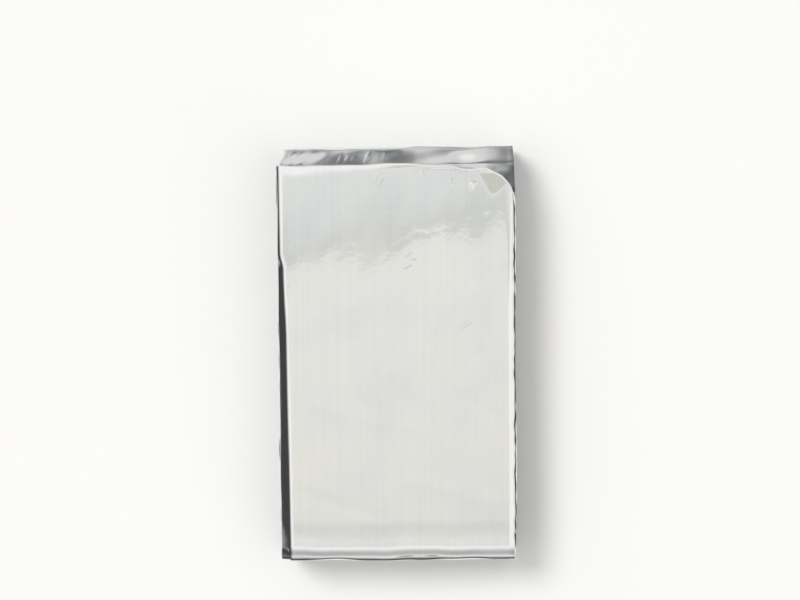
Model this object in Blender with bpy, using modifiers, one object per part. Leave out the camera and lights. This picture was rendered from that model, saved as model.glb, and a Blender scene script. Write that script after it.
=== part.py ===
"""Emergency sleeping bag, folded into its flat pack.

A bag of thin aluminised film is gathered side to side into a narrow strip, and the strip is
folded end to end. The strip goes back and forth twelve times, then once round the back of the
stack, up its head end and down its front, where a crisp crease marks the top of the front.

The pack lies on its back. +Z is up through the front, +Y points to the head end and +X to the
right of someone who looks down at the front. Sizes are in metres.
"""

import math
from collections import namedtuple

import bmesh
import bpy

MM = 0.001

# The strip: the bag's twelve lengthwise panels, pressed into one soft ribbon
STRIP_WIDTH = 83.4 * MM
STRIP_THICKNESS = 1.45 * MM
INNER_PANELS = 12

# The pack
PACK_THICKNESS = 26.0 * MM
FOOT_Y = -73.8 * MM
HEAD_Y = 73.0 * MM
LAYERS = INNER_PANELS + 2
LAYER_PITCH = (PACK_THICKNESS - STRIP_THICKNESS) / (LAYERS - 1)
FOLD_RADIUS = LAYER_PITCH / 2
FOLD_REACH = FOLD_RADIUS + STRIP_THICKNESS / 2

# The wrap round the head end: tuck, upright wall, shoulder and the slope up to the front crease
TUCK_RADIUS = 6.0 * MM
SHOULDER_RADIUS = 1.0 * MM
SLOPE_ANGLE = math.radians(39)
SLOPE_HEIGHT = 4.0 * MM
WRAP_CLEARANCE = 1.05 * STRIP_THICKNESS

# Free ends of the strip, measured back from the foot
FIRST_END_SETBACK = 4.5 * MM
FRONT_END_SETBACK = 2.0 * MM

# Each fold, from the front down: how far it stops short of its end of the pack, and how far
# the strip has wandered to the right there
Fold = namedtuple("Fold", "end setback drift")
FOLDS = (
    Fold("head", 0.4 * MM, 0.10 * MM),
    Fold("foot", 1.3 * MM, -0.30 * MM),
    Fold("head", 0.3 * MM, 0.35 * MM),
    Fold("foot", 0.2 * MM, 0.15 * MM),
    Fold("head", 1.5 * MM, -0.40 * MM),
    Fold("foot", 0.9 * MM, -0.10 * MM),
    Fold("head", 0.8 * MM, 0.30 * MM),
    Fold("foot", 0.0 * MM, 0.40 * MM),
    Fold("head", 1.9 * MM, -0.15 * MM),
    Fold("foot", 1.1 * MM, -0.40 * MM),
    Fold("head", 1.0 * MM, 0.20 * MM),
    Fold("foot", 0.4 * MM, 0.05 * MM),
)
FIRST_END_DRIFT = 0.20 * MM
WRAP_DRIFT = 0.00 * MM
FRONT_END_DRIFT = -0.35 * MM

# How the pack has settled: each depth is what the front loses there
EDGE_SAG = 0.45 * MM
FOOT_SAG = 1.2 * MM
FOOT_SAG_LENGTH = 16 * MM
LEFT_ROLL_SLOPE = 0.84
LEFT_ROLL_WIDTH_AT_HEAD = 0.5 * MM
LEFT_ROLL_WIDTH_AT_FOOT = 4.4 * MM
CORNER_SLOPE = 0.78
CORNER_ALONG_HEAD = 27 * MM
CORNER_DOWN_SIDE = 13 * MM
CORNER_ROUNDNESS = 2.4
HEAD_SKEW = 0.35 * MM
HEAD_TAPER = 2.0 * MM
HEAD_TAPER_LENGTH = 5.5 * MM

# Mesh steps
PANEL_STEPS = 9
FRONT_STEPS = 18
FOLD_STEPS = 6
ARC_STEPS = 5
WALL_STEPS = 3
SLOPE_STEPS = 3
COLUMNS = (-1.0, -0.97, -0.93, -0.86, -0.6, 0.0, 0.42, 0.64, 0.82, 0.93, 1.0)

FILM_COLOUR = (0.86, 0.87, 0.88, 1.0)
FILM_ROUGHNESS = 0.14

Station = namedtuple("Station", "y z drift")


def smooth(t):
    """0 to 1 with flat ends, for a t that is held to 0..1."""
    t = min(max(t, 0.0), 1.0)
    return t * t * (3 - 2 * t)


def layer_height(layer):
    """Height of a layer's middle; layer 0 is the back panel and the last is the front."""
    return STRIP_THICKNESS / 2 + layer * LAYER_PITCH


def arc(centre, radius, first, last):
    """Points after the start of an arc; its angles are measured up from +Y."""
    angles = [first + (last - first) * step / ARC_STEPS for step in range(1, ARC_STEPS + 1)]
    return [(centre[0] + radius * math.cos(a), centre[1] + radius * math.sin(a)) for a in angles]


def run(start, end, steps):
    """Points after the start of a straight run."""
    shares = [step / steps for step in range(1, steps + 1)]
    return [tuple(a + (b - a) * share for a, b in zip(start, end)) for share in shares]


def head_wrap():
    """Middle of the strip round the head end, from the back panel up to the front crease."""
    tuck_centre = (HEAD_Y - STRIP_THICKNESS / 2 - TUCK_RADIUS, layer_height(0) + TUCK_RADIUS)
    points = [(tuck_centre[0], layer_height(0))]
    points += arc(tuck_centre, TUCK_RADIUS, -math.pi / 2, 0)

    lean = math.pi / 2 - SLOPE_ANGLE
    wall_y = points[-1][0]
    wall_top = layer_height(LAYERS - 1) - SLOPE_HEIGHT - SHOULDER_RADIUS * math.sin(lean)
    points += run(points[-1], (wall_y, wall_top), WALL_STEPS)
    points += arc((wall_y - SHOULDER_RADIUS, wall_top), SHOULDER_RADIUS, 0, lean)

    crease = (points[-1][0] - SLOPE_HEIGHT / math.tan(SLOPE_ANGLE), layer_height(LAYERS - 1))
    return points + run(points[-1], crease, SLOPE_STEPS)


def wrap_at(wrap, z):
    """The wrap's y at height z."""
    for (y0, z0), (y1, z1) in zip(wrap, wrap[1:]):
        if z0 <= z <= z1:
            return y0 + (y1 - y0) * (z - z0) / (z1 - z0)
    return wrap[0][0] if z < wrap[0][1] else wrap[-1][0]


def fold_centre_y(fold, z, wrap):
    """Where the fold's half circle has its centre."""
    if fold.end == "foot":
        return FOOT_Y + fold.setback + FOLD_REACH
    room = min(wrap_at(wrap, z + side * FOLD_REACH) for side in (-1, 0, 1))
    return room - WRAP_CLEARANCE - fold.setback - FOLD_REACH


def panel(start, end, steps):
    """Stations along a flat panel, closer together near its two ends."""
    stations = []
    for step in range(1, steps):
        share = (1 - math.cos(math.pi * step / steps)) / 2
        drift = start.drift + (end.drift - start.drift) * smooth(share)
        stations.append(Station(start.y + (end.y - start.y) * share, start.z, drift))
    return stations + [end]


def half_circle(start, outward):
    """Stations down round a fold that bulges outward (+1 to the head, -1 to the foot)."""
    stations = []
    for step in range(1, FOLD_STEPS + 1):
        angle = math.pi * step / FOLD_STEPS
        y = start.y + outward * FOLD_RADIUS * math.sin(angle)
        z = start.z - FOLD_RADIUS * (1 - math.cos(angle))
        stations.append(Station(y, z, start.drift))
    return stations


def strip_path():
    """The whole strip: down through the stack, under it, up the head end and down the front."""
    wrap = head_wrap()
    path = [Station(FOOT_Y + FIRST_END_SETBACK, layer_height(INNER_PANELS), FIRST_END_DRIFT)]
    for index, fold in enumerate(FOLDS):
        z = layer_height(INNER_PANELS - index)
        y = fold_centre_y(fold, z - FOLD_RADIUS, wrap)
        path += panel(path[-1], Station(y, z, fold.drift), PANEL_STEPS)
        path += half_circle(path[-1], 1 if fold.end == "head" else -1)
    path += panel(path[-1], Station(*wrap[0], WRAP_DRIFT), PANEL_STEPS)
    path += [Station(y, z, WRAP_DRIFT) for y, z in wrap[1:]]
    front_end = Station(FOOT_Y + FRONT_END_SETBACK, layer_height(LAYERS - 1), FRONT_END_DRIFT)
    path += panel(path[-1], front_end, FRONT_STEPS)
    return path


def front_loss(x, y):
    """How much lower than full thickness the front lies at (x, y)."""
    across = x / (STRIP_WIDTH / 2)
    loss = EDGE_SAG * across**4
    loss += FOOT_SAG * (1 - smooth((y - FOOT_Y) / FOOT_SAG_LENGTH))

    toward_foot = (HEAD_Y - y) / (HEAD_Y - FOOT_Y)
    roll_width = LEFT_ROLL_WIDTH_AT_HEAD + (
        LEFT_ROLL_WIDTH_AT_FOOT - LEFT_ROLL_WIDTH_AT_HEAD
    ) * smooth(1.5 * toward_foot)
    from_left = x + STRIP_WIDTH / 2
    loss += LEFT_ROLL_SLOPE * max(roll_width - from_left, 0.0)

    # The head end's right corner is pressed down, outside a curve across the corner.
    return loss + CORNER_SLOPE * past_corner_curve(x, y)


def past_corner_curve(x, y):
    """How far (x, y) lies past the curve across the corner, toward the corner."""
    along = max((x - STRIP_WIDTH / 2) / CORNER_ALONG_HEAD + 1, 0.0)
    down = min(max((y - crease_y()) / CORNER_DOWN_SIDE + 1, 0.0), 1.0)
    reach = (along**CORNER_ROUNDNESS + down**CORNER_ROUNDNESS) ** (1 / CORNER_ROUNDNESS)
    if reach <= 1:
        return 0.0
    per_metre = math.hypot(
        (along / reach) ** (CORNER_ROUNDNESS - 1) / CORNER_ALONG_HEAD,
        (down / reach) ** (CORNER_ROUNDNESS - 1) / CORNER_DOWN_SIDE,
    )
    return (reach - 1) / per_metre


def crease_y():
    """The front crease, where the slope up the head end meets the front."""
    return head_wrap()[-1][0]


def settle(point):
    """Presses a point of the full stack down, skews the head end and tapers its left side."""
    x, y, z = point
    lower = z * (1 - front_loss(x, y) / PACK_THICKNESS)
    skew = HEAD_SKEW * x / (STRIP_WIDTH / 2) * smooth(y / HEAD_Y)
    leftness = max(-x / (STRIP_WIDTH / 2), 0.0)
    taper = HEAD_TAPER * leftness**4 * smooth((y - crease_y()) / HEAD_TAPER_LENGTH)
    return x + taper, y + skew, lower if z > MM * 1e-3 else 0.0


def strip_sheet(path):
    """The strip's middle as an open grid, a row of vertices for each station."""
    mesh = bpy.data.meshes.new("folded_bag")
    grid = bmesh.new()
    bmesh.ops.create_grid(
        grid, x_segments=len(COLUMNS) - 1, y_segments=len(path) - 1, size=0.5
    )
    grid.verts.ensure_lookup_table()
    for number, vert in enumerate(grid.verts):
        row, column = divmod(number, len(COLUMNS))
        station = path[row]
        vert.co = (COLUMNS[column] * STRIP_WIDTH / 2 + station.drift, station.y, station.z)
    bmesh.ops.recalc_face_normals(grid, faces=grid.faces)
    grid.to_mesh(mesh)
    grid.free()
    return mesh


def thickened(sheet, collection):
    """The sheet's closed solid, as a new mesh."""
    rough = bpy.data.objects.new("sheet", sheet)
    collection.objects.link(rough)
    shell = rough.modifiers.new("Thickness", "SOLIDIFY")
    shell.thickness = STRIP_THICKNESS
    shell.offset = 0
    shell.use_even_offset = True
    bpy.context.view_layer.update()
    solid = bpy.data.meshes.new_from_object(rough.evaluated_get(bpy.context.evaluated_depsgraph_get()))
    bpy.data.objects.remove(rough)
    return solid


def film_material():
    material = bpy.data.materials.new("aluminised_film")
    material.use_nodes = True
    shader = material.node_tree.nodes["Principled BSDF"]
    shader.inputs["Base Color"].default_value = FILM_COLOUR
    shader.inputs["Metallic"].default_value = 1.0
    shader.inputs["Roughness"].default_value = FILM_ROUGHNESS
    return material


def folded_bag(collection):
    """The one piece of the pack."""
    solid = thickened(strip_sheet(strip_path()), collection)
    for vert in solid.vertices:
        vert.co = settle(vert.co)
    bag = bpy.data.objects.new("folded_bag", solid)
    bag.data.materials.append(film_material())
    collection.objects.link(bag)
    return bag


def main():
    for old in list(bpy.data.objects):
        bpy.data.objects.remove(old)
    collection = bpy.data.collections.new("Emergency sleeping bag")
    bpy.context.scene.collection.children.link(collection)
    folded_bag(collection)


main()
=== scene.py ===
"""Emergency sleeping bag, folded: the aluminised film itself, in place of the plain strip solid.

The bag is one sheet of doubled film, 1.0 m wide and 2.0 m long. It is pleated lengthwise into
twelve panels, and the pleated strip is folded end to end. The sheet here follows both sets of
folds. Sizes are in metres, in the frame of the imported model: +Z up through the front, +Y to
the head end, +X to the right.
"""

import math
from collections import namedtuple

import bpy
import numpy as np
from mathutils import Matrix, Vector


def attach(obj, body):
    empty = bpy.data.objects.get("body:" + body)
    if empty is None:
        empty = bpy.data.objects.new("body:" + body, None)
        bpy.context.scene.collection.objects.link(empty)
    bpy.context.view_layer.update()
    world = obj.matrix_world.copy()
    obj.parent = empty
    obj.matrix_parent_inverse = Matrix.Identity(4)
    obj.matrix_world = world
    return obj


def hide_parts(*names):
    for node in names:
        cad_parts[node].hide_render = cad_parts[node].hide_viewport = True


MM = 0.001

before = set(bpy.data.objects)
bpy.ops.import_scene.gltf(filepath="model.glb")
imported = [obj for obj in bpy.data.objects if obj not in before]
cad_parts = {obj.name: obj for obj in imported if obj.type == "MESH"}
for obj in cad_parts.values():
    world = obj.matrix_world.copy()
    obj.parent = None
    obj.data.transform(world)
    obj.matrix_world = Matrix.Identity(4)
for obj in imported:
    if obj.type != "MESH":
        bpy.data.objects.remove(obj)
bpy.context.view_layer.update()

# ---------------------------------------------------------------- the folded strip, as packed
STRIP_WIDTH = 83.4 * MM
STRIP_THICKNESS = 1.45 * MM
INNER_PANELS = 12
LAYERS = INNER_PANELS + 2
PACK_THICKNESS = 26.0 * MM
FOOT_Y = -73.8 * MM
HEAD_Y = 73.0 * MM
LAYER_PITCH = (PACK_THICKNESS - STRIP_THICKNESS) / (LAYERS - 1)
FOLD_RADIUS = LAYER_PITCH / 2
FOLD_REACH = FOLD_RADIUS + STRIP_THICKNESS / 2
TUCK_RADIUS = 6.0 * MM
SHOULDER_RADIUS = 1.0 * MM
SLOPE_ANGLE = math.radians(39)
SLOPE_HEIGHT = 4.0 * MM
WRAP_CLEARANCE = 1.05 * STRIP_THICKNESS
FIRST_END_SETBACK = 2.2 * MM
FRONT_END_SETBACK = 2.0 * MM

# The stack's folds from the top down: how far each is set back, and how far to the right
Fold = namedtuple("Fold", "end setback drift")
FOLDS = (
    Fold("head", 0.4 * MM, 0.10 * MM),
    Fold("foot", 1.3 * MM, -0.30 * MM),
    Fold("head", 0.3 * MM, 0.35 * MM),
    Fold("foot", 0.2 * MM, 0.15 * MM),
    Fold("head", 1.5 * MM, -0.40 * MM),
    Fold("foot", 0.9 * MM, -0.10 * MM),
    Fold("head", 0.8 * MM, 0.30 * MM),
    Fold("foot", 0.0 * MM, 0.40 * MM),
    Fold("head", 1.9 * MM, -0.15 * MM),
    Fold("foot", 1.1 * MM, -0.40 * MM),
    Fold("head", 1.0 * MM, 0.20 * MM),
    Fold("foot", 0.4 * MM, 0.05 * MM),
)
FIRST_END_DRIFT = 0.20 * MM

# ---------------------------------------------------------------- the film in the strip
PLEATS = 12
BAG_WIDTH = 1.0
FILM_SPACING = 1.6 * MM / (PLEATS - 1)
HALF_STRIP = (PLEATS - 1) / 2 * FILM_SPACING
CREASE_RADIUS = 1.1 * MM
SEAM_WIDTH = 3.0 * MM
# The pleats spread apart a little at the strip's edges
EDGE_PUFF = 0.09
PUFF_WIDTH = 4.0 * MM
# How far the right edge lies inside the strip's own, on the front and in the stack
FRONT_INSET = 0.3 * MM
STACK_INSET = 0.8 * MM
# How far each film bends down over the next at the strip's free ends
TIP_DROP = 0.92 * FILM_SPACING

# Along the strip, one row of the mesh for each of these lengths
STACK_STEP = 1.7 * MM
WRAP_STEP = 1.7 * MM
SKIN_STEP = 0.55 * MM
CORNER_STEP = 0.3 * MM
# Rows in one bend of each sort
FOLD_ROWS = 10
SHOULDER_ROWS = 8
CREASE_ROWS = 6
# The front's rows are closest over this length below its crease
FINE_FRONT = 18 * MM
# Panels of the stack that are cut across, halfway along
CUT_PANELS = (4, 7, 10)
# Columns of the pleat beneath that belong to the outermost film's mesh
TURNED_COLUMNS = 12

random = np.random.default_rng(11)


def smooth(t):
    """0 to 1 with flat ends."""
    t = np.clip(t, 0.0, 1.0)
    return t * t * (3 - 2 * t)


def soft_step_in(t, roundness):
    """0 below 0 and t above it, with the corner rounded over the given length."""
    return roundness * np.logaddexp(0.0, t / roundness)


# ---------------------------------------------------------------- path of the strip's middle
# A path is an array with a row for each station: y, z, the offset direction's y and z, drift.
def straight(start, end, step, drift=(0.0, 0.0)):
    """Stations after the start of a straight run."""
    along = np.subtract(end, start)
    length = math.hypot(*along)
    share = np.linspace(0, 1, max(2, math.ceil(length / step)) + 1)[1:]
    rows = np.empty((len(share), 5))
    rows[:, 0:2] = np.asarray(start) + share[:, None] * along
    rows[:, 2] = along[1] / length
    rows[:, 3] = -along[0] / length
    rows[:, 4] = drift[0] + (drift[1] - drift[0]) * smooth(share)
    return rows


def bend(centre, radius, heading, turn, steps, drift=0.0):
    """Stations after the start of a bend; headings are from +Y, and a left turn is positive."""
    angle = heading + turn * np.arange(1, steps + 1) / steps
    right = np.stack((np.sin(angle), -np.cos(angle)), axis=1)
    rows = np.empty((steps, 5))
    rows[:, 0:2] = np.asarray(centre) + math.copysign(radius, turn) * right
    rows[:, 2:4] = right
    rows[:, 4] = drift
    return rows


def layer_height(layer):
    """Height of a layer's middle; layer 0 is at the bottom."""
    return STRIP_THICKNESS / 2 + layer * LAYER_PITCH


TUCK_CENTRE = (HEAD_Y - STRIP_THICKNESS / 2 - TUCK_RADIUS, layer_height(0) + TUCK_RADIUS)
WALL_Y = TUCK_CENTRE[0] + TUCK_RADIUS
SLOPE_LEAN = math.pi / 2 - SLOPE_ANGLE
SLOPE_FOOT_Z = layer_height(LAYERS - 1) - SLOPE_HEIGHT
WALL_TOP_Z = SLOPE_FOOT_Z - SHOULDER_RADIUS * math.sin(SLOPE_LEAN)
SHOULDER_Y = WALL_Y - SHOULDER_RADIUS * (1 - math.cos(SLOPE_LEAN))
CREASE_Y = SHOULDER_Y - SLOPE_HEIGHT / math.tan(SLOPE_ANGLE)
CREASE_Z = layer_height(LAYERS - 1)


def wrap_at(z):
    """The wrap's y at height z, for the folds inside it."""
    if z < TUCK_CENTRE[1]:
        down = min(TUCK_CENTRE[1] - z, TUCK_RADIUS)
        return TUCK_CENTRE[0] + math.sqrt(TUCK_RADIUS**2 - down**2)
    if z < WALL_TOP_Z:
        return WALL_Y
    if z < SLOPE_FOOT_Z:
        up = z - WALL_TOP_Z
        return WALL_Y - SHOULDER_RADIUS + math.sqrt(SHOULDER_RADIUS**2 - up**2)
    return max(SHOULDER_Y - (z - SLOPE_FOOT_Z) / math.tan(SLOPE_ANGLE), CREASE_Y)


def fold_centre_y(fold, z):
    """Where along the pack a fold at height z turns, set back from the foot or the wrap."""
    if fold.end == "foot":
        return FOOT_Y + fold.setback + FOLD_REACH
    room = min(wrap_at(z + side * FOLD_REACH) for side in (-1, 0, 1))
    return room - WRAP_CLEARANCE - fold.setback - FOLD_REACH


def stack_path():
    """From the first free end down through the stack and under it to the tuck, in parts."""
    z = layer_height(INNER_PANELS)
    start = (FOOT_Y + FIRST_END_SETBACK, z)
    rows = [np.array([[*start, 0.0, -1.0, FIRST_END_DRIFT]])]
    drift = FIRST_END_DRIFT
    for fold in FOLDS:
        toward_head = fold.end == "head"
        y = fold_centre_y(fold, z - FOLD_RADIUS)
        rows.append(straight(start, (y, z), STACK_STEP, (drift, fold.drift)))
        heading = 0.0 if toward_head else math.pi
        turn = -math.pi if toward_head else math.pi
        centre = (y, z - FOLD_RADIUS)
        rows.append(bend(centre, FOLD_RADIUS, heading, turn, FOLD_ROWS, fold.drift))
        z -= LAYER_PITCH
        start = (y, z)
        drift = fold.drift
    rows.append(straight(start, (TUCK_CENTRE[0], z), STACK_STEP, (drift, 0.0)))
    return rows


def wrap_path(step, crease_step):
    """Round the head end and down the front, from the tuck to the free end."""
    arc_steps = max(8, math.ceil(TUCK_RADIUS * math.pi / 2 / step))
    rows = [np.array([[TUCK_CENTRE[0], layer_height(0), 0.0, -1.0, 0.0]])]
    rows.append(bend(TUCK_CENTRE, TUCK_RADIUS, 0.0, math.pi / 2, arc_steps))

    # Every film has the same small radius at the shoulder and at the crease, so the offsets
    # are mitred there.
    shoulder_half = math.tan(SLOPE_LEAN / 2)
    half = math.tan(SLOPE_ANGLE / 2)
    wall = straight((WALL_Y, TUCK_CENTRE[1]), (WALL_Y, WALL_TOP_Z), crease_step)
    wall[:, 3] += np.linspace(0, 1, len(wall) + 1)[1:] * shoulder_half
    rows.append(wall)
    shoulder = (WALL_Y - SHOULDER_RADIUS, WALL_TOP_Z)
    shoulder_bend = bend(shoulder, SHOULDER_RADIUS, math.pi / 2, SLOPE_LEAN, SHOULDER_ROWS)
    shoulder_bend[:, 2:4] = wall[-1, 2:4]
    rows.append(shoulder_bend)
    cut = CREASE_RADIUS * half
    before = (
        CREASE_Y + cut * math.cos(SLOPE_ANGLE),
        CREASE_Z - cut * math.sin(SLOPE_ANGLE),
    )
    slope = straight((SHOULDER_Y, SLOPE_FOOT_Z), before, crease_step)
    shift = np.linspace(-shoulder_half, half, len(slope) + 1)[1:, None]
    slope[:, 2:4] += shift * np.array([[-math.cos(SLOPE_ANGLE), math.sin(SLOPE_ANGLE)]])
    rows.append(slope)
    centre = (CREASE_Y - cut, CREASE_Z - CREASE_RADIUS)
    fillet = bend(centre, CREASE_RADIUS, math.pi - SLOPE_ANGLE, SLOPE_ANGLE, CREASE_ROWS)
    fillet[:, 2:4] = slope[-1, 2:4]
    rows.append(fillet)
    upper_front = (CREASE_Y - FINE_FRONT, CREASE_Z)
    front_end = (FOOT_Y + FRONT_END_SETBACK, CREASE_Z)
    front = np.concatenate(
        (
            straight((CREASE_Y - cut, CREASE_Z), upper_front, crease_step),
            straight(upper_front, front_end, step),
        )
    )
    # The mitre at the crease fades out down the front.
    fade = 1 - smooth((CREASE_Y - front[:, 0]) / (10 * MM))
    front[:, 2] += fade * half
    rows.append(front)
    return np.concatenate(rows)


def length_along(path):
    """Length from the path's start to each station."""
    steps = np.hypot(np.diff(path[:, 0]), np.diff(path[:, 1]))
    return np.concatenate(([0.0], np.cumsum(steps)))


# ---------------------------------------------------------------- columns across the pleats
# Pleat 0 is the innermost on the front and starts at the sheet's right edge. Even pleats run
# to the left and odd ones to the right, so the outermost ends at the right too.
# Each column has its place across the strip, its height in it, the turns that its pleat hangs
# between at the left and right, how much it follows each, and its place across the flat bag.
Columns = namedtuple("Columns", "x offset left right left_share right_share across")


def edge_spaced(half_width, fine_count):
    """Places across a pleat, close together near both edges."""
    edge = half_width - 0.27 * MM * np.arange(fine_count) ** 1.6
    middle = np.linspace(-edge[-1], edge[-1], 8)[1:-1]
    return np.concatenate((-edge, middle, edge[::-1]))


def skin_spaced(half_width):
    """Places across the outermost pleat, closest on the corner's side."""
    edge = half_width - np.array([0.0, 0.06, 0.15, 0.28]) * MM
    corner = 14 * MM
    left = np.arange(-edge[-1], -10 * MM, SKIN_STEP)[1:]
    middle = np.arange(-10 * MM, corner, 0.4 * MM)
    right = np.arange(corner, edge[-1], CORNER_STEP)
    return np.concatenate((-edge, left, middle, right, edge[::-1]))


def pleat_columns(pleats, places, turn_steps=4):
    """Columns of some neighbouring pleats, with the turn after each but the last."""
    turn_radius = FILM_SPACING / 2
    half_width = STRIP_WIDTH / 2
    all_pleats = half_width * 2 * PLEATS
    x, offset, left, right, across = [], [], [], [], []
    for pleat in pleats:
        leftward = pleat % 2 == 0
        run = places(half_width - turn_radius)
        run = run[::-1] if leftward else run
        middle = (pleat - (PLEATS - 1) / 2) * FILM_SPACING
        count = len(run)
        x.append(run)
        offset.append(np.full(count, middle))
        done = (half_width - run) if leftward else (half_width + run)
        across.append((pleat * 2 * half_width + done) / all_pleats * BAG_WIDTH)
        if pleat != pleats[-1]:
            side = -1 if leftward else 1
            angle = math.pi * (np.arange(1, turn_steps) / turn_steps)
            count += len(angle)
            x.append(side * (half_width - turn_radius + turn_radius * np.sin(angle)))
            offset.append(middle + turn_radius * (1 - np.cos(angle)))
            across.append(np.full(len(angle), (pleat + 1) / PLEATS * BAG_WIDTH))
        # Turn number pleat comes before the pleat, and number pleat + 1 after it.
        before, after = pleat, pleat + 1
        left.append(np.full(count, after if leftward else before))
        right.append(np.full(count, before if leftward else after))
    x = np.concatenate(x)
    share = smooth((np.abs(x) - 0.4 * half_width) / (0.6 * half_width))
    return Columns(
        x,
        np.concatenate(offset),
        np.concatenate(left),
        np.concatenate(right),
        np.where(x < 0, share, 0.0),
        np.where(x > 0, share, 0.0),
        np.concatenate(across),
    )


# How far each turn of the pleats stands out, changing slowly along the strip
TURN_WAVES = [
    [
        (random.uniform(0.04, 0.13) * MM, random.uniform(24, 90) * MM, random.uniform(0, 2 * math.pi))
        for _ in range(4)
    ]
    for _ in range(PLEATS + 1)
]
TURN_STAND = random.uniform(-0.6, 0.0, PLEATS + 1) * MM
# The outermost pleat's two edges cover those beneath.
TURN_STAND[-2:] = (0.05 * MM, 0.10 * MM)


def turn_reach(along):
    """Array of stations by turns: how far each turn stands out past the strip's edge."""
    reach = np.empty((len(along), PLEATS + 1))
    for turn, waves in enumerate(TURN_WAVES):
        reach[:, turn] = TURN_STAND[turn]
        for height, length, phase in waves:
            reach[:, turn] += height * np.sin(2 * math.pi * along / length + phase)
    return reach


# ---------------------------------------------------------------- how the pack has settled
# The curve across the head end's right corner: how far it reaches along the crease and down
# the right edge, and how square it is
CORNER_ALONG = 27 * MM
CORNER_DOWN = 20 * MM
CORNER_SQUARENESS = 3.2
# How much lower the front lies at its edges than in the middle
LEFT_EDGE_LOSS = 0.28 * MM
RIGHT_EDGE_LOSS = 0.45 * MM
FOOT_LOSS = 1.2 * MM
# How far the top layers hang down at the foot, and how much the head end's left is drawn in
FOOT_DROOP = 1.05 * MM
HEAD_LEFT_INSET = 2.0 * MM
LOWEST_FILM = 0.02 * MM


def roll_width(y):
    """How wide the left edge's roll is: more and more toward the foot."""
    toward_foot = (CREASE_Y - y) / MM
    width = 0.85 + 0.008 * np.clip(toward_foot, 0, 30) + 1.1 * smooth((toward_foot - 30) / 6)
    width += 0.75 * smooth((toward_foot - 36) / 26) + 0.6 * smooth((toward_foot - 60) / 70)
    return width * MM


def left_roll(x, y):
    """How far the rolled left edge falls."""
    return 0.84 * soft_step_in(roll_width(y) - (x + STRIP_WIDTH / 2), 0.08 * MM)


def right_roll_start(y):
    """Where the front turns down at its right edge, a little unevenly."""
    uneven = 0.13 * np.sin(y / (3.1 * MM)) + 0.10 * np.sin(y / (1.1 * MM) + 2 * np.sin(y / (5 * MM)))
    return STRIP_WIDTH / 2 + (uneven - 1.0) * MM


def right_roll(x, y):
    """How far the turned right edge falls."""
    return 0.80 * soft_step_in(x - right_roll_start(y), 0.05 * MM)


def past_corner_curve(x, y):
    """Distance past the curve across the head end's right corner, negative on the face."""
    power = CORNER_SQUARENESS
    along = np.clip((x - STRIP_WIDTH / 2) / CORNER_ALONG + 1, 0, None)
    down = 1 - soft_step_in((CREASE_Y + 0.2 * MM - y) / CORNER_DOWN, 0.008)
    down = np.clip(down, 0, 1)
    # The reach is 1 on the curve, and its slope turns it into a distance.
    reach = np.maximum((along**power + down**power) ** (1 / power), 0.5)
    per_metre = np.hypot(
        (along / reach) ** (power - 1) / CORNER_ALONG,
        (down / reach) ** (power - 1) / CORNER_DOWN,
    )
    past = (reach - 1) / np.maximum(per_metre, 40.0)

    # The curve dips once near the crease, and is finely scalloped toward the right edge.
    dip = smooth((x - 17 * MM) / (7 * MM)) * (1 - smooth((x - 25 * MM) / (7 * MM)))
    dip *= smooth((CREASE_Y + 5.5 * MM - y) / (5 * MM))
    scallops = np.sin((x - y) / (1.3 * MM)) * smooth((along - 0.4) / 0.3)
    scallops *= smooth((CREASE_Y - y) / (1 * MM))
    return past + (1.3 * dip + 0.1 * scallops) * MM


def corner_fall(x, y):
    """The head end's right corner is pressed down, past a curve across the corner."""
    return 0.78 * soft_step_in(past_corner_curve(x, y), 0.07 * MM)


def front_loss(x, y):
    """How much lower than full thickness the front lies."""
    across = x / (STRIP_WIDTH / 2)
    loss = np.where(x > 0, RIGHT_EDGE_LOSS, LEFT_EDGE_LOSS) * across**4
    loss += FOOT_LOSS * (1 - smooth((y - FOOT_Y) / (16 * MM)))
    return loss + np.maximum(right_roll(x, y), corner_fall(x, y))


# Slow waves: a height, and the lengths across, along and up the pack, in millimetres
Wave = namedtuple("Wave", "height across along up phase")
HEIGHT_WAVES = (
    Wave(0.16, 61, 47, 19, 0.4),
    Wave(0.13, -38, 33, 14, 2.1),
    Wave(0.12, 29, -52, 11, 4.0),
    Wave(0.07, 90, 17, 9, 5.2),
)
LENGTH_WAVES = (
    Wave(0.25, 44, 60, 13, 1.2),
    Wave(0.18, -23, 80, 9, 3.3),
    Wave(0.10, 12, 90, 30, 0.2),
)
SIDE_WAVES = (
    Wave(0.22, 90, 52, 12, 0.9),
    Wave(0.15, 80, 24, 17, 2.7),
    Wave(0.08, 70, 11, 8, 4.4),
)


def ripple(waves, x, y, z):
    """Sum of the waves at these points."""
    total = np.zeros_like(x)
    for wave in waves:
        turns = x / wave.across + y / wave.along + z / wave.up
        total += wave.height * MM * np.sin(2 * math.pi * turns / MM + wave.phase)
    return total


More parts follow.
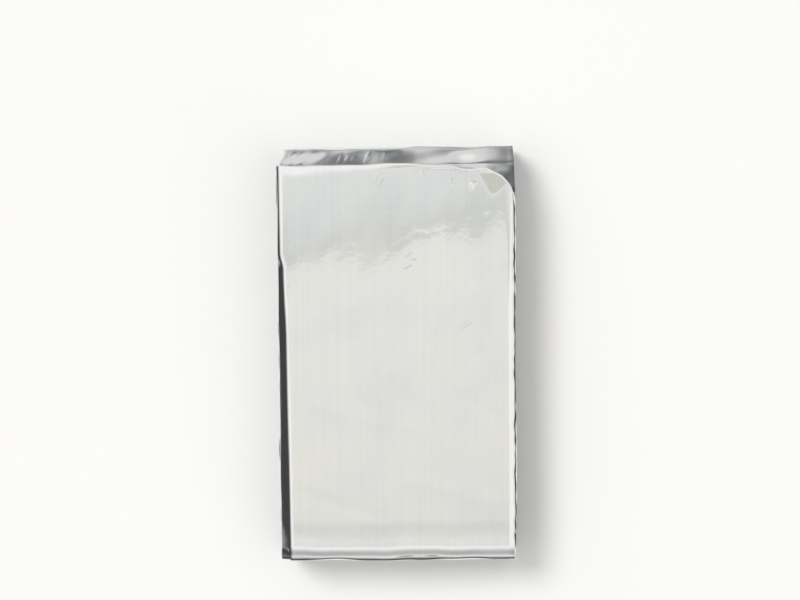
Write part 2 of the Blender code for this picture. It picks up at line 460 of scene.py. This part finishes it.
def settle(x, y, z):
    """Moves points of the full, even stack to where the real one lies."""
    lift = smooth(z / (6 * MM))
    inside = smooth((PACK_THICKNESS - z) / (4 * MM))
    moved_z = z + ripple(HEIGHT_WAVES, x, y, z) * lift * inside
    moved_z = moved_z * (1 - front_loss(x, y) / PACK_THICKNESS)

    # The left edge's roll weakens with depth, and only the top layers droop at the foot.
    share = np.clip(z / PACK_THICKNESS, 0, None)
    droop = smooth((FOOT_Y + 6 * MM - y) / (4.5 * MM))
    moved_z -= left_roll(x, y) * share**2.5 * (1 - 0.35 * droop) + FOOT_DROOP * droop * share**10

    # The head end runs a little out of square, with a step to the right of the middle.
    skew = 0.35 * MM * x / (STRIP_WIDTH / 2) - 0.5 * MM * smooth((x - 2 * MM) / (9 * MM))
    skew *= smooth(y / HEAD_Y)
    moved_y = y + skew + ripple(LENGTH_WAVES, x, y, z) * smooth(np.abs(y) / (60 * MM)) * 0.6
    moved_x = x + ripple(SIDE_WAVES, x, y, z) * smooth(np.abs(x) / (30 * MM)) * inside
    leftness = np.clip(-x / (STRIP_WIDTH / 2), 0, 1)
    moved_x += HEAD_LEFT_INSET * leftness**4 * smooth((y - CREASE_Y) / (5.5 * MM))
    return moved_x, moved_y, np.maximum(moved_z, LOWEST_FILM)


# ---------------------------------------------------------------- the outermost film
Crease = namedtuple("Crease", "x0 y0 x1 y1 width height")
# In millimetres on the front: a soft trough where height is negative, else a ridge
CREASES = (
    Crease(-23.1, 34.5, -15.5, 38.7, 2.0, -0.003),
    Crease(1.0, 39.8, 6.4, 43.2, 1.6, -0.004),
    Crease(6.4, 43.2, 14.5, 44.0, 0.8, -0.003),
    Crease(14.5, 44.0, 31.2, 49.5, 1.2, -0.0015),
    Crease(-44.0, 25.0, -34.0, 26.0, 6.0, -0.022),
    Crease(9.5, 43.6, 11.2, 42.6, 0.5, -0.007),
    Crease(30.8, 49.8, 32.0, 50.3, 0.40, -0.010),
    Crease(2.6, 31.6, 5.0, 33.0, 0.45, -0.016),
    Crease(4.6, 33.8, 6.6, 33.6, 0.45, 0.014),
    Crease(3.2, 34.0, 5.0, 36.0, 0.5, 0.010),
    Crease(26.0, 59.2, 26.5, 60.6, 0.50, 0.08),
    Crease(26.5, 60.6, 27.6, 61.0, 0.50, 0.04),
    Crease(19.3, 60.2, 19.3, 61.8, 0.35, 0.06),
    Crease(8.9, 63.4, 9.2, 65.0, 0.35, 0.06),
    Crease(-7.6, 61.8, -6.6, 63.2, 0.5, 0.02),
    Crease(-6.2, 60.4, -4.8, 62.4, 0.5, 0.02),
    Crease(15.8, 17.4, 16.4, 17.7, 0.35, -0.03),
    Crease(22.8, 10.4, 25.4, 12.2, 0.55, -0.06),
    Crease(-30.0, -18.0, 8.0, -26.0, 3.0, 0.045),
    Crease(12.0, -8.0, 36.0, -22.0, 2.4, -0.04),
    Crease(-34.0, -48.0, -6.0, -57.0, 2.6, -0.05),
    Crease(4.0, -44.0, 34.0, -52.0, 3.2, 0.05),
)
# Likewise on the wall of the head end, by place across and height
WALL_CREASES = (
    Crease(-41.0, 5.5, -24.0, 12.5, 1.10, 0.38),
    Crease(-26.0, 12.0, -9.0, 16.0, 0.90, 0.34),
    Crease(-34.0, 18.4, -17.0, 14.5, 0.80, 0.28),
    Crease(-24.0, 7.5, -2.0, 6.2, 1.20, -0.34),
    Crease(-39.5, 13.2, -33.0, 16.0, 0.80, 0.24),
    Crease(-12.0, 9.0, 9.0, 12.5, 1.10, 0.34),
    Crease(5.0, 11.6, 28.0, 10.0, 1.30, 0.40),
    Crease(2.0, 17.8, 22.0, 15.5, 0.80, 0.28),
    Crease(19.0, 16.2, 41.0, 11.0, 1.00, 0.38),
    Crease(17.0, 7.0, 37.0, 6.0, 1.00, 0.30),
)
# On the front, where all points are at one height
FILM_WAVES = (
    Wave(0.013, 47, 58, 1e6, 0.7),
    Wave(0.009, -30, 41, 1e6, 2.9),
    Wave(0.010, 17, 90, 1e6, 4.1),
    Wave(0.003, 9, -33, 1e6, 1.1),
)


def crease_heights(x, y, creases, fade=0.0):
    """Height of the listed creases, which fade over this share of each at their ends."""
    total = np.zeros_like(x)
    for crease in creases:
        start = np.array((crease.x0, crease.y0)) * MM
        run = np.array((crease.x1 - crease.x0, crease.y1 - crease.y0)) * MM
        share = ((x - start[0]) * run[0] + (y - start[1]) * run[1]) / (run @ run)
        near = np.clip(share, 0, 1)
        away = np.hypot(x - start[0] - near * run[0], y - start[1] - near * run[1])
        height = crease.height * MM * np.exp(-((away / (crease.width * MM)) ** 2))
        if fade:
            height = height * smooth(near / fade) * smooth((1 - near) / fade)
        total += height
    return total


# Marks on the head end's slope, in millimetres except rise, which is 0 at its foot and 1 at the
# crease: place across, rise, width, length, height
SLOPE_MARKS = (
    (-38.2, 0.45, 0.9, 2.0, 0.10),
    (-36.6, 0.60, 0.8, 2.6, -0.10),
    (-35.0, 0.40, 0.9, 1.6, 0.07),
    (-32.4, 0.50, 1.7, 3.0, -0.10),
    (-29.6, 0.35, 1.2, 2.2, 0.06),
    (-26.6, 0.60, 1.2, 2.4, -0.06),
    (-24.0, 0.45, 1.0, 2.4, 0.05),
    (-19.4, 0.50, 0.55, 1.5, 0.10),
    (-18.4, 0.50, 0.7, 1.8, -0.08),
    (-14.8, 0.55, 0.45, 1.1, 0.05),
    (-10.0, 0.50, 0.40, 2.4, 0.10),
    (-8.0, 0.55, 1.6, 3.0, -0.04),
    (-3.6, 0.45, 0.9, 2.4, 0.05),
    (-0.8, 0.55, 1.2, 2.4, -0.05),
)


def on_front(path_y, path_z):
    """1 on the front, fading to 0 over the last 3 mm before the crease."""
    return smooth((CREASE_Y - path_y) / (3 * MM)) * (path_z > CREASE_Z - 0.5 * MM)


def on_slope(path_y, path_z):
    """1 at the foot of the head end's slope, fading to 0 at the crease and down the wall."""
    up = np.clip((path_z - SLOPE_FOOT_Z) / (CREASE_Z - SLOPE_FOOT_Z), 0, 1)
    rising = smooth((path_z - SLOPE_FOOT_Z + 8 * MM) / (8 * MM)) * (1 - up)
    return rising * (path_y > CREASE_Y + 0.2 * MM)


def corner_dent(x, y):
    """Depth of the shallow pointed dent beside the pressed corner."""
    from_left_line = (x - 29.0 * MM) * 0.87 + (y - 63.5 * MM) * 0.50
    from_right_line = (x - 33.2 * MM) * -0.65 + (y - 56.2 * MM) * 0.76
    blend = 0.8 * MM
    inside = -blend * np.logaddexp(-from_left_line / blend, -from_right_line / blend)
    return 0.065 * soft_step_in(inside + 0.15 * MM, 0.34 * MM) * smooth((68 * MM - y) / (4 * MM))


def strip_stand(x, path_y, path_z):
    """How far the whole strip stands out: a bulge on the slope's right, less the dent."""
    right = smooth((x - 0.5 * MM) / (8 * MM)) - 0.2 * smooth((x - 28 * MM) / (14 * MM))
    bulge = 0.66 * MM * on_slope(path_y, path_z) * right
    return bulge - corner_dent(x, path_y) * on_front(path_y, path_z)


def skin_stand(x, path_y, path_z):
    """How far the outermost film stands off the strip, by place on the front and head end."""
    front = on_front(path_y, path_z)
    stand = 0.10 * MM + ripple(FILM_WAVES, x, path_y, np.zeros_like(x)) * front
    stand += crease_heights(x, path_y, CREASES) * front
    on_wall = smooth((path_z - 4 * MM) / (3 * MM)) * smooth((WALL_TOP_Z - path_z) / (1.5 * MM))
    wrinkles = crease_heights(x, path_z, WALL_CREASES, fade=0.2)
    stand += wrinkles * on_wall * (path_y > SHOULDER_Y)

    # The front curves down a little just inside its left edge and its crease.
    toward_foot = CREASE_Y - path_y
    margin = 2.6 * MM - 0.05 * np.clip(toward_foot, 0, 34 * MM)
    from_roll = x + STRIP_WIDTH / 2 - roll_width(path_y)
    stand -= 0.04 * np.clip(margin - from_roll, 0, margin) ** 2 / margin * front
    top_margin = 1.0 * MM + 3.4 * MM * smooth((12 * MM - x) / (50 * MM))
    inside = np.clip(top_margin - toward_foot, 0, top_margin)
    behind_crease = smooth((path_z - SLOPE_FOOT_Z) / (CREASE_Z - SLOPE_FOOT_Z))
    stand -= 0.045 * inside**2 / top_margin * behind_crease

    # The sealed edge at the right lifts a little.
    seam_width = SEAM_WIDTH * (1 - 0.25 * smooth((path_y - 15 * MM) / (35 * MM)))
    across_seam = np.minimum(x, right_roll_start(path_y)) - STRIP_WIDTH / 2 + seam_width
    on_seam = front * (1 - smooth(past_corner_curve(x, path_y) / (0.6 * MM) + 0.5))
    stand += 0.18 * soft_step_in(across_seam, 0.35 * MM) * on_seam

    # A bead runs along the crease where the corner falls away behind it.
    at_crease = np.exp(-(((path_y - CREASE_Y) / (0.7 * MM)) ** 2)) * (path_z > SLOPE_FOOT_Z)
    stand += 0.12 * MM * at_crease * smooth((x - 2 * MM) / (24 * MM))

    # Streaks run up the slope at the listed places, with finer ones on its left.
    slope_share = (path_z - SLOPE_FOOT_Z) / (CREASE_Z - SLOPE_FOOT_Z)
    slope_length = SLOPE_HEIGHT / math.sin(SLOPE_ANGLE)
    midway = np.sin(math.pi * np.clip(slope_share, 0, 1)) * (path_y > CREASE_Y)
    for place, rise, width, length, height in SLOPE_MARKS:
        up = (slope_share - rise) * slope_length
        away = np.hypot((x - place * MM + 0.35 * up) / width, up / length) / MM
        stand += height * MM * np.exp(-(away**2)) * midway
    fine = np.sin(x / (0.9 * MM) + 2 * np.sin(x / (4 * MM)))
    fine *= smooth((4 * MM - x) / (9 * MM))
    return stand + 0.02 * MM * on_slope(path_y, path_z) * fine


# ---------------------------------------------------------------- meshes
# How much further each film reaches than the one beneath it, at the strip's free ends
TIP_OUT = np.concatenate(([0.0], np.cumsum(random.uniform(0.03, 0.11, PLEATS - 1)))) * MM


def with_tip(x, y, z, level, drop):
    """Steps the last row's films apart and adds a row that bends each down over the next."""
    out = np.interp(level / FILM_SPACING, np.arange(PLEATS), TIP_OUT)
    out += 0.16 * MM * np.sin(x[-1] / (9 * MM) + 1.0) + 0.09 * MM * np.sin(x[-1] / (3.1 * MM))
    y[-1] -= out
    x = np.vstack((x, x[-1]))
    y = np.vstack((y, y[-1] - 0.03 * MM))
    z = np.vstack((z, z[-1] - drop))
    return x, y, z


def sheet_mesh(name, path, along, columns, kind):
    """A grid over stations and columns, settled, with the flat sheet's own place as its UV.

    The kind is "stack_start" for the piece with the first free end, "stack" for the rest of
    the stack, "under" for the inner pleats of the front and "skin" for its outermost film.
    """
    reach = turn_reach(along)
    x = columns.x + path[:, 4:5]
    x = x + reach[:, columns.left] * -columns.left_share
    x = x + reach[:, columns.right] * columns.right_share
    in_front = kind in ("under", "skin")
    inset = FRONT_INSET if in_front else STACK_INSET
    x = x - inset * smooth((x - 25 * MM) / (15 * MM))
    puff = 1 + EDGE_PUFF * smooth((np.abs(columns.x) - STRIP_WIDTH / 2) / PUFF_WIDTH + 1)
    offset = np.broadcast_to(columns.offset * puff, x.shape).copy()
    base_y = np.broadcast_to(path[:, 0:1], x.shape)
    base_z = np.broadcast_to(path[:, 1:2], x.shape)
    drop = TIP_DROP
    if in_front:
        offset += strip_stand(x, base_y, base_z)
    if kind == "skin":
        outermost = columns.offset > HALF_STRIP - 0.1 * FILM_SPACING
        stand = skin_stand(x, base_y, base_z) * outermost
        offset += stand
        drop = drop + stand[-1]
    y = base_y + path[:, 2:3] * offset
    z = base_z + path[:, 3:4] * offset
    if in_front:
        x, y, z = with_tip(x, y, z, columns.offset + HALF_STRIP, drop)
        along = np.append(along, along[-1] + FILM_SPACING)
    if kind == "stack_start":
        x, y, z = with_tip(x[::-1], y[::-1], z[::-1], HALF_STRIP - columns.offset, drop)
        x, y, z = x[::-1], y[::-1], z[::-1]
        along = np.insert(along, 0, along[0] - FILM_SPACING)
    places = np.stack(settle(x, y, z), axis=-1).reshape(-1, 3)

    rows, cols = x.shape
    corner = (np.arange(rows - 1)[:, None] * cols + np.arange(cols - 1)).ravel()
    faces = np.stack((corner, corner + 1, corner + cols + 1, corner + cols), axis=1)
    mesh = bpy.data.meshes.new(name)
    mesh.vertices.add(len(places))
    mesh.vertices.foreach_set("co", places.ravel())
    mesh.loops.add(faces.size)
    mesh.loops.foreach_set("vertex_index", faces.ravel())
    mesh.polygons.add(len(faces))
    mesh.polygons.foreach_set("loop_start", np.arange(len(faces)) * 4)
    mesh.update(calc_edges=True)
    mesh.validate()
    flat = np.empty((rows * cols, 2))
    flat[:, 0] = np.broadcast_to(columns.across, x.shape).ravel()
    flat[:, 1] = np.repeat(along, cols)
    layer = mesh.uv_layers.new(name="Sheet")
    layer.data.foreach_set("uv", flat[faces.ravel()].ravel())
    mesh.shade_smooth()
    return mesh


def add_sheet(name, path, along, columns, kind):
    """A piece of the bag, as an object on the CAD body in place of the plain strip."""
    mesh = sheet_mesh(name, path, along, columns, kind)
    piece = bpy.data.objects.new(name, mesh)
    bpy.context.scene.collection.objects.link(piece)
    mesh.materials.append(FILM)
    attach(piece, "root")
    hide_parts("folded_bag")
    return piece


# ---------------------------------------------------------------- nodes
# Places of a Mix node's sockets, for colours and for plain values
MIX_FACTOR = 0
COLOUR_A, COLOUR_B, COLOUR_RESULT = 6, 7, 2
VALUE_A, VALUE_B, VALUE_RESULT = 2, 3, 0


def feed(links, socket, value):
    """Sets a socket to a number or a colour, or links an output to it."""
    if isinstance(value, (int, float)):
        socket.default_value = value
    elif isinstance(value, tuple):
        socket.default_value = (*value, 1)
    else:
        links.new(value, socket)


def colour_ramp(nodes, links, value, stops):
    """A colour ramp with these (position, colour) stops, fed by value."""
    node = nodes.new("ShaderNodeValToRGB")
    elements = node.color_ramp.elements
    while len(elements) < len(stops):
        elements.new(0.5)
    for element, (position, colour) in zip(elements, stops):
        element.position = position
        element.color = (*colour, 1)
    links.new(value, node.inputs["Fac"])
    return node.outputs["Color"]


def mix_colours(nodes, links, factor, a, b, blend_type="MIX"):
    """Colour a where factor is 0 and b, or b's effect on a, where it is 1."""
    node = nodes.new("ShaderNodeMix")
    node.data_type = "RGBA"
    node.blend_type = blend_type
    feed(links, node.inputs[MIX_FACTOR], factor)
    feed(links, node.inputs[COLOUR_A], a)
    feed(links, node.inputs[COLOUR_B], b)
    return node.outputs[COLOUR_RESULT]


def fade_in(nodes, links, value, low, high, interpolation="SMOOTHSTEP"):
    """0 up to low and 1 from high."""
    node = nodes.new("ShaderNodeMapRange")
    node.interpolation_type = interpolation
    node.inputs["From Min"].default_value = low
    node.inputs["From Max"].default_value = high
    links.new(value, node.inputs["Value"])
    return node.outputs["Result"]


# ---------------------------------------------------------------- material
# The film's own colour, its fine darker lines, and its haze from streak to streak
CLOUD_STOPS = ((0.3, (0.84, 0.85, 0.86)), (0.5, (0.88, 0.88, 0.875)), (0.7, (0.90, 0.89, 0.86)))
LINE_STOPS = ((0.35, (0.98, 0.98, 0.98)), (0.6, (1.0, 1.0, 1.0)))
STREAK_STOPS = ((0.3, (0.03, 0.03, 0.03)), (0.75, (0.075, 0.075, 0.075)))
# Where the head end's rubbed wall starts, from not at all to fully, and how hazy it is
RUBBED_FROM = (71.8 * MM, 72.4 * MM)
RUBBED_HAZE = 0.27


def film_material():
    """Aluminised film: a slightly hazy mirror, cloudy, with fine lines along the strip."""
    material = bpy.data.materials.new("aluminised_film")
    material.use_nodes = True
    nodes, links = material.node_tree.nodes, material.node_tree.links
    shader = nodes["Principled BSDF"]
    shader.inputs["Metallic"].default_value = 1.0
    place = nodes.new("ShaderNodeTexCoord").outputs["Object"]

    def noise(scale, detail, stretch=(1, 1, 1)):
        mapping = nodes.new("ShaderNodeMapping")
        mapping.inputs["Scale"].default_value = stretch
        links.new(place, mapping.inputs["Vector"])
        texture = nodes.new("ShaderNodeTexNoise")
        texture.inputs["Scale"].default_value = scale
        texture.inputs["Detail"].default_value = detail
        links.new(mapping.outputs["Vector"], texture.inputs["Vector"])
        return texture.outputs["Fac"]

    clouds = colour_ramp(nodes, links, noise(scale=45, detail=3), CLOUD_STOPS)
    fine_lines = noise(scale=900, detail=3, stretch=(1, 0.015, 1))
    lines = colour_ramp(nodes, links, fine_lines, LINE_STOPS)
    tinted = mix_colours(nodes, links, 1.0, clouds, lines, "MULTIPLY")
    links.new(tinted, shader.inputs["Base Color"])

    # The haze runs in streaks along the strip. The head end's wall is rubbed, so it is hazier.
    broad_lines = noise(scale=60, detail=4, stretch=(1, 0.08, 1))
    streaks = colour_ramp(nodes, links, broad_lines, STREAK_STOPS)
    split = nodes.new("ShaderNodeSeparateXYZ")
    links.new(place, split.inputs[0])
    on_wall = fade_in(nodes, links, split.outputs["Y"], *RUBBED_FROM, "LINEAR")
    haze = nodes.new("ShaderNodeMix")
    links.new(on_wall, haze.inputs[MIX_FACTOR])
    links.new(streaks, haze.inputs[VALUE_A])
    haze.inputs[VALUE_B].default_value = RUBBED_HAZE
    links.new(haze.outputs[VALUE_RESULT], shader.inputs["Roughness"])

    bump = nodes.new("ShaderNodeBump")
    bump.inputs["Strength"].default_value = 0.03
    bump.inputs["Distance"].default_value = 0.0002
    links.new(noise(scale=420, detail=2), bump.inputs["Height"])
    links.new(bump.outputs["Normal"], shader.inputs["Normal"])
    return material


FILM = film_material()


# ---------------------------------------------------------------- the pieces
def build_bag():
    """The stack in four pieces, then the front's inner pleats and its outermost film."""
    stack = stack_path()
    lengths = [len(rows) for rows in stack]
    whole = np.concatenate(stack)
    along = length_along(whole)
    every = pleat_columns(range(PLEATS), lambda half: edge_spaced(half, fine_count=6))

    # The stack's rows are its first end, then a panel and a fold by turns.
    ends = np.cumsum(lengths)
    middles = [int(ends[panel * 2 - 2] + lengths[panel * 2 - 1] // 2) for panel in CUT_PANELS]
    cuts = [0, *middles, len(whole) - 1]
    for number, (first, last) in enumerate(zip(cuts, cuts[1:]), 1):
        rows = slice(first, last + 1)
        kind = "stack_start" if first == 0 else "stack"
        add_sheet(f"film_stack_{number}", whole[rows], along[rows], every, kind)

    under = wrap_path(WRAP_STEP, 2 * CORNER_STEP)
    under_columns = pleat_columns(range(PLEATS - 1), lambda half: edge_spaced(half, fine_count=7))
    base = along[-1]
    add_sheet("film_front_under", under, base + length_along(under), under_columns, "under")

    skin = wrap_path(SKIN_STEP, CORNER_STEP)
    skin_columns = pleat_columns(range(PLEATS - 2, PLEATS), skin_spaced)
    # Of the pleat beneath, only the edge next to its turn belongs to this piece.
    beneath = len(skin_spaced(STRIP_WIDTH / 2))
    keep = np.arange(len(skin_columns.x)) >= beneath - TURNED_COLUMNS
    skin_columns = Columns(*(values[keep] for values in skin_columns))
    add_sheet("film_front", skin, base + length_along(skin), skin_columns, "skin")


# ---------------------------------------------------------------- studio
# What shows past the floor
BACKDROP = (0.955, 0.948, 0.932)


def unit(x, y, z):
    """This direction, one long."""
    length = math.sqrt(x * x + y * y + z * z)
    return (x / length, y / length, z / length)


def grey(level, warmth=0.0):
    """A light's colour, a little warmer or cooler than grey."""
    return (level * (1 + warmth), level, level * (1 - warmth))


# The surroundings' brightness by height, 0 at the horizon: to the sides, and past the head end
SIDE_SKY = (
    (0.00, grey(0.55)),
    (0.035, grey(0.50)),
    (0.07, grey(0.055, -0.04)),
    (0.20, grey(0.07, -0.05)),
    (0.32, grey(0.16, -0.03)),
    (0.50, grey(0.48)),
    (0.72, grey(0.86, 0.01)),
    (0.90, grey(1.00, 0.015)),
)
HEAD_SKY = (
    (0.00, grey(0.55)),
    (0.035, grey(0.50)),
    (0.07, grey(0.16, -0.04)),
    (0.21, grey(0.25, -0.04)),
    (0.28, grey(0.32, -0.04)),
    (0.33, grey(0.50, -0.01)),
    (0.39, grey(0.74)),
    (0.50, grey(0.80)),
    (0.72, grey(0.86, 0.01)),
    (0.90, grey(1.00, 0.015)),
)
# Low soft boxes in the surroundings: direction, cosines of the inner and outer edge, colour
LOW_BOXES = (
    (unit(-0.42, 1.0, 0.20), 0.988, 0.934, (0.77, 0.79, 0.78)),
    (unit(-0.62, 0.60, 0.42), 0.95, 0.90, (0.80, 0.81, 0.81)),
    (unit(0.75, -0.75, 0.33), 0.96, 0.90, (0.70, 0.70, 0.69)),
)
# A small warm patch overhead
BEIGE = (0.65, 0.655, 0.585)
# The dull part overhead, from the foot side (0) to the head side (1) of the zenith
DULL_STOPS = (
    (0.00, (0.76, 0.76, 0.73)),
    (0.40, (0.85, 0.85, 0.815)),
    (0.635, (0.88, 0.88, 0.85)),
    (0.655, (0.67, 0.68, 0.655)),
    (0.675, (0.735, 0.75, 0.73)),
    (0.705, (0.785, 0.805, 0.79)),
    (0.80, (0.825, 0.845, 0.83)),
)


def world_light():
    """A bright ceiling, duller straight overhead, that darkens to the horizon."""
    world = bpy.data.worlds.new("studio")
    bpy.context.scene.world = world
    world.use_nodes = True
    nodes, links = world.node_tree.nodes, world.node_tree.links
    background = nodes["Background"]
    direction = nodes.new("ShaderNodeTexCoord").outputs["Generated"]

    def math_node(operation, a, b):
        node = nodes.new("ShaderNodeMath")
        node.operation = operation
        links.new(a, node.inputs[0])
        links.new(b, node.inputs[1])
        return node.outputs[0]

    def toward(vector):
        node = nodes.new("ShaderNodeVectorMath")
        node.operation = "DOT_PRODUCT"
        links.new(direction, node.inputs[0])
        node.inputs[1].default_value = vector
        return node.outputs["Value"]

    def fade(value, low, high, interpolation="SMOOTHSTEP"):
        return fade_in(nodes, links, value, low, high, interpolation)

    def blend(factor, a, b):
        return mix_colours(nodes, links, factor, a, b)

    up = toward((0, 0, 1))
    side_sky = colour_ramp(nodes, links, up, SIDE_SKY)
    head_sky = colour_ramp(nodes, links, up, HEAD_SKY)
    sky = blend(fade(toward((0, 1, 0)), 0.60, 0.92), side_sky, head_sky)
    # Soft boxes low down, for the sides
    for aim, inner, outer, colour in LOW_BOXES:
        sky = blend(fade(toward(aim), outer, inner), sky, colour)

    # Straight overhead the ceiling is duller, in two tones with a shadow line between.
    slant = math_node("DIVIDE", toward((-0.15, 1, 0)), up)
    across = math_node("DIVIDE", toward((1, 0, 0)), up)
    dull = colour_ramp(nodes, links, fade(slant, -0.3, 0.1, "LINEAR"), DULL_STOPS)
    ahead = math_node("DIVIDE", toward((0, 1, 0)), up)
    overhead = fade(up, 0.88, 0.93)

    def area(left, right, lengthways, foot, head):
        """1 inside a box of slants from the zenith; each side is an (outer, inner) pair."""
        sides = math_node("MULTIPLY", fade(across, *left), fade(across, *right))
        ends = math_node("MULTIPLY", fade(lengthways, *foot), fade(lengthways, *head))
        return math_node("MULTIPLY", overhead, math_node("MULTIPLY", sides, ends))

    dull_area = area(
        left=(-0.21, -0.11),
        right=(0.28, 0.18),
        lengthways=slant,
        foot=(-0.9, -0.3),
        head=(0.12, 0.012),
    )
    sky = blend(dull_area, sky, dull)
    beige_area = area(
        left=(-0.035, 0.01),
        right=(0.30, 0.22),
        lengthways=ahead,
        foot=(0.02, 0.045),
        head=(0.20, 0.15),
    )
    sky = blend(beige_area, sky, BEIGE)
    links.new(sky, background.inputs["Color"])

    backdrop = nodes.new("ShaderNodeBackground")
    backdrop.inputs["Color"].default_value = (*BACKDROP, 1)
    sight = nodes.new("ShaderNodeLightPath")
    mix = nodes.new("ShaderNodeMixShader")
    links.new(sight.outputs["Is Camera Ray"], mix.inputs["Fac"])
    links.new(background.outputs["Background"], mix.inputs[1])
    links.new(backdrop.outputs["Background"], mix.inputs[2])
    links.new(mix.outputs["Shader"], nodes["World Output"].inputs["Surface"])


def sun(name, direction, angle, strength, colour):
    """A broad, even light from far away."""
    light = bpy.data.lights.new(name, "SUN")
    light.angle = math.radians(angle)
    light.energy = strength
    light.color = colour
    lamp = bpy.data.objects.new(name, light)
    bpy.context.scene.collection.objects.link(lamp)
    lamp.rotation_euler = Vector(direction).to_track_quat("Z", "Y").to_euler()
    lamp.visible_glossy = False


def floor():
    """A wide, plain, pale floor."""
    bpy.ops.mesh.primitive_plane_add(size=20.0, location=(0, 0, 0))
    ground = bpy.context.active_object
    ground.name = "floor"
    material = bpy.data.materials.new("floor")
    material.use_nodes = True
    shader = material.node_tree.nodes["Principled BSDF"]
    shader.inputs["Base Color"].default_value = (0.86, 0.86, 0.86, 1)
    shader.inputs["Roughness"].default_value = 0.9
    shader.inputs["Specular IOR Level"].default_value = 0.0
    ground.data.materials.append(material)


CAMERA_DISTANCE = 0.70
CAMERA_TILT = math.radians(4.0)
CAMERA_ROLL = math.radians(-0.5)
AIM = (1.4 * MM, 19.9 * MM, PACK_THICKNESS)


def camera():
    """Nearly straight above, from a little past the middle of the head end."""
    lens = bpy.data.cameras.new("camera")
    lens.lens = 90.0
    lens.sensor_width = 36.0
    eye = bpy.data.objects.new("camera", lens)
    bpy.context.scene.collection.objects.link(eye)
    eye.location = (
        AIM[0],
        AIM[1] + CAMERA_DISTANCE * math.sin(CAMERA_TILT),
        AIM[2] + CAMERA_DISTANCE * math.cos(CAMERA_TILT),
    )
    eye.rotation_euler = (-CAMERA_TILT, 0.0, CAMERA_ROLL)
    bpy.context.scene.camera = eye


camera()
build_bag()
floor()
world_light()
sun("key", direction=(-0.55, 0.50, 1.0), angle=22, strength=1.5, colour=(1.0, 0.995, 0.98))
bpy.context.scene.view_settings.view_transform = "Standard"
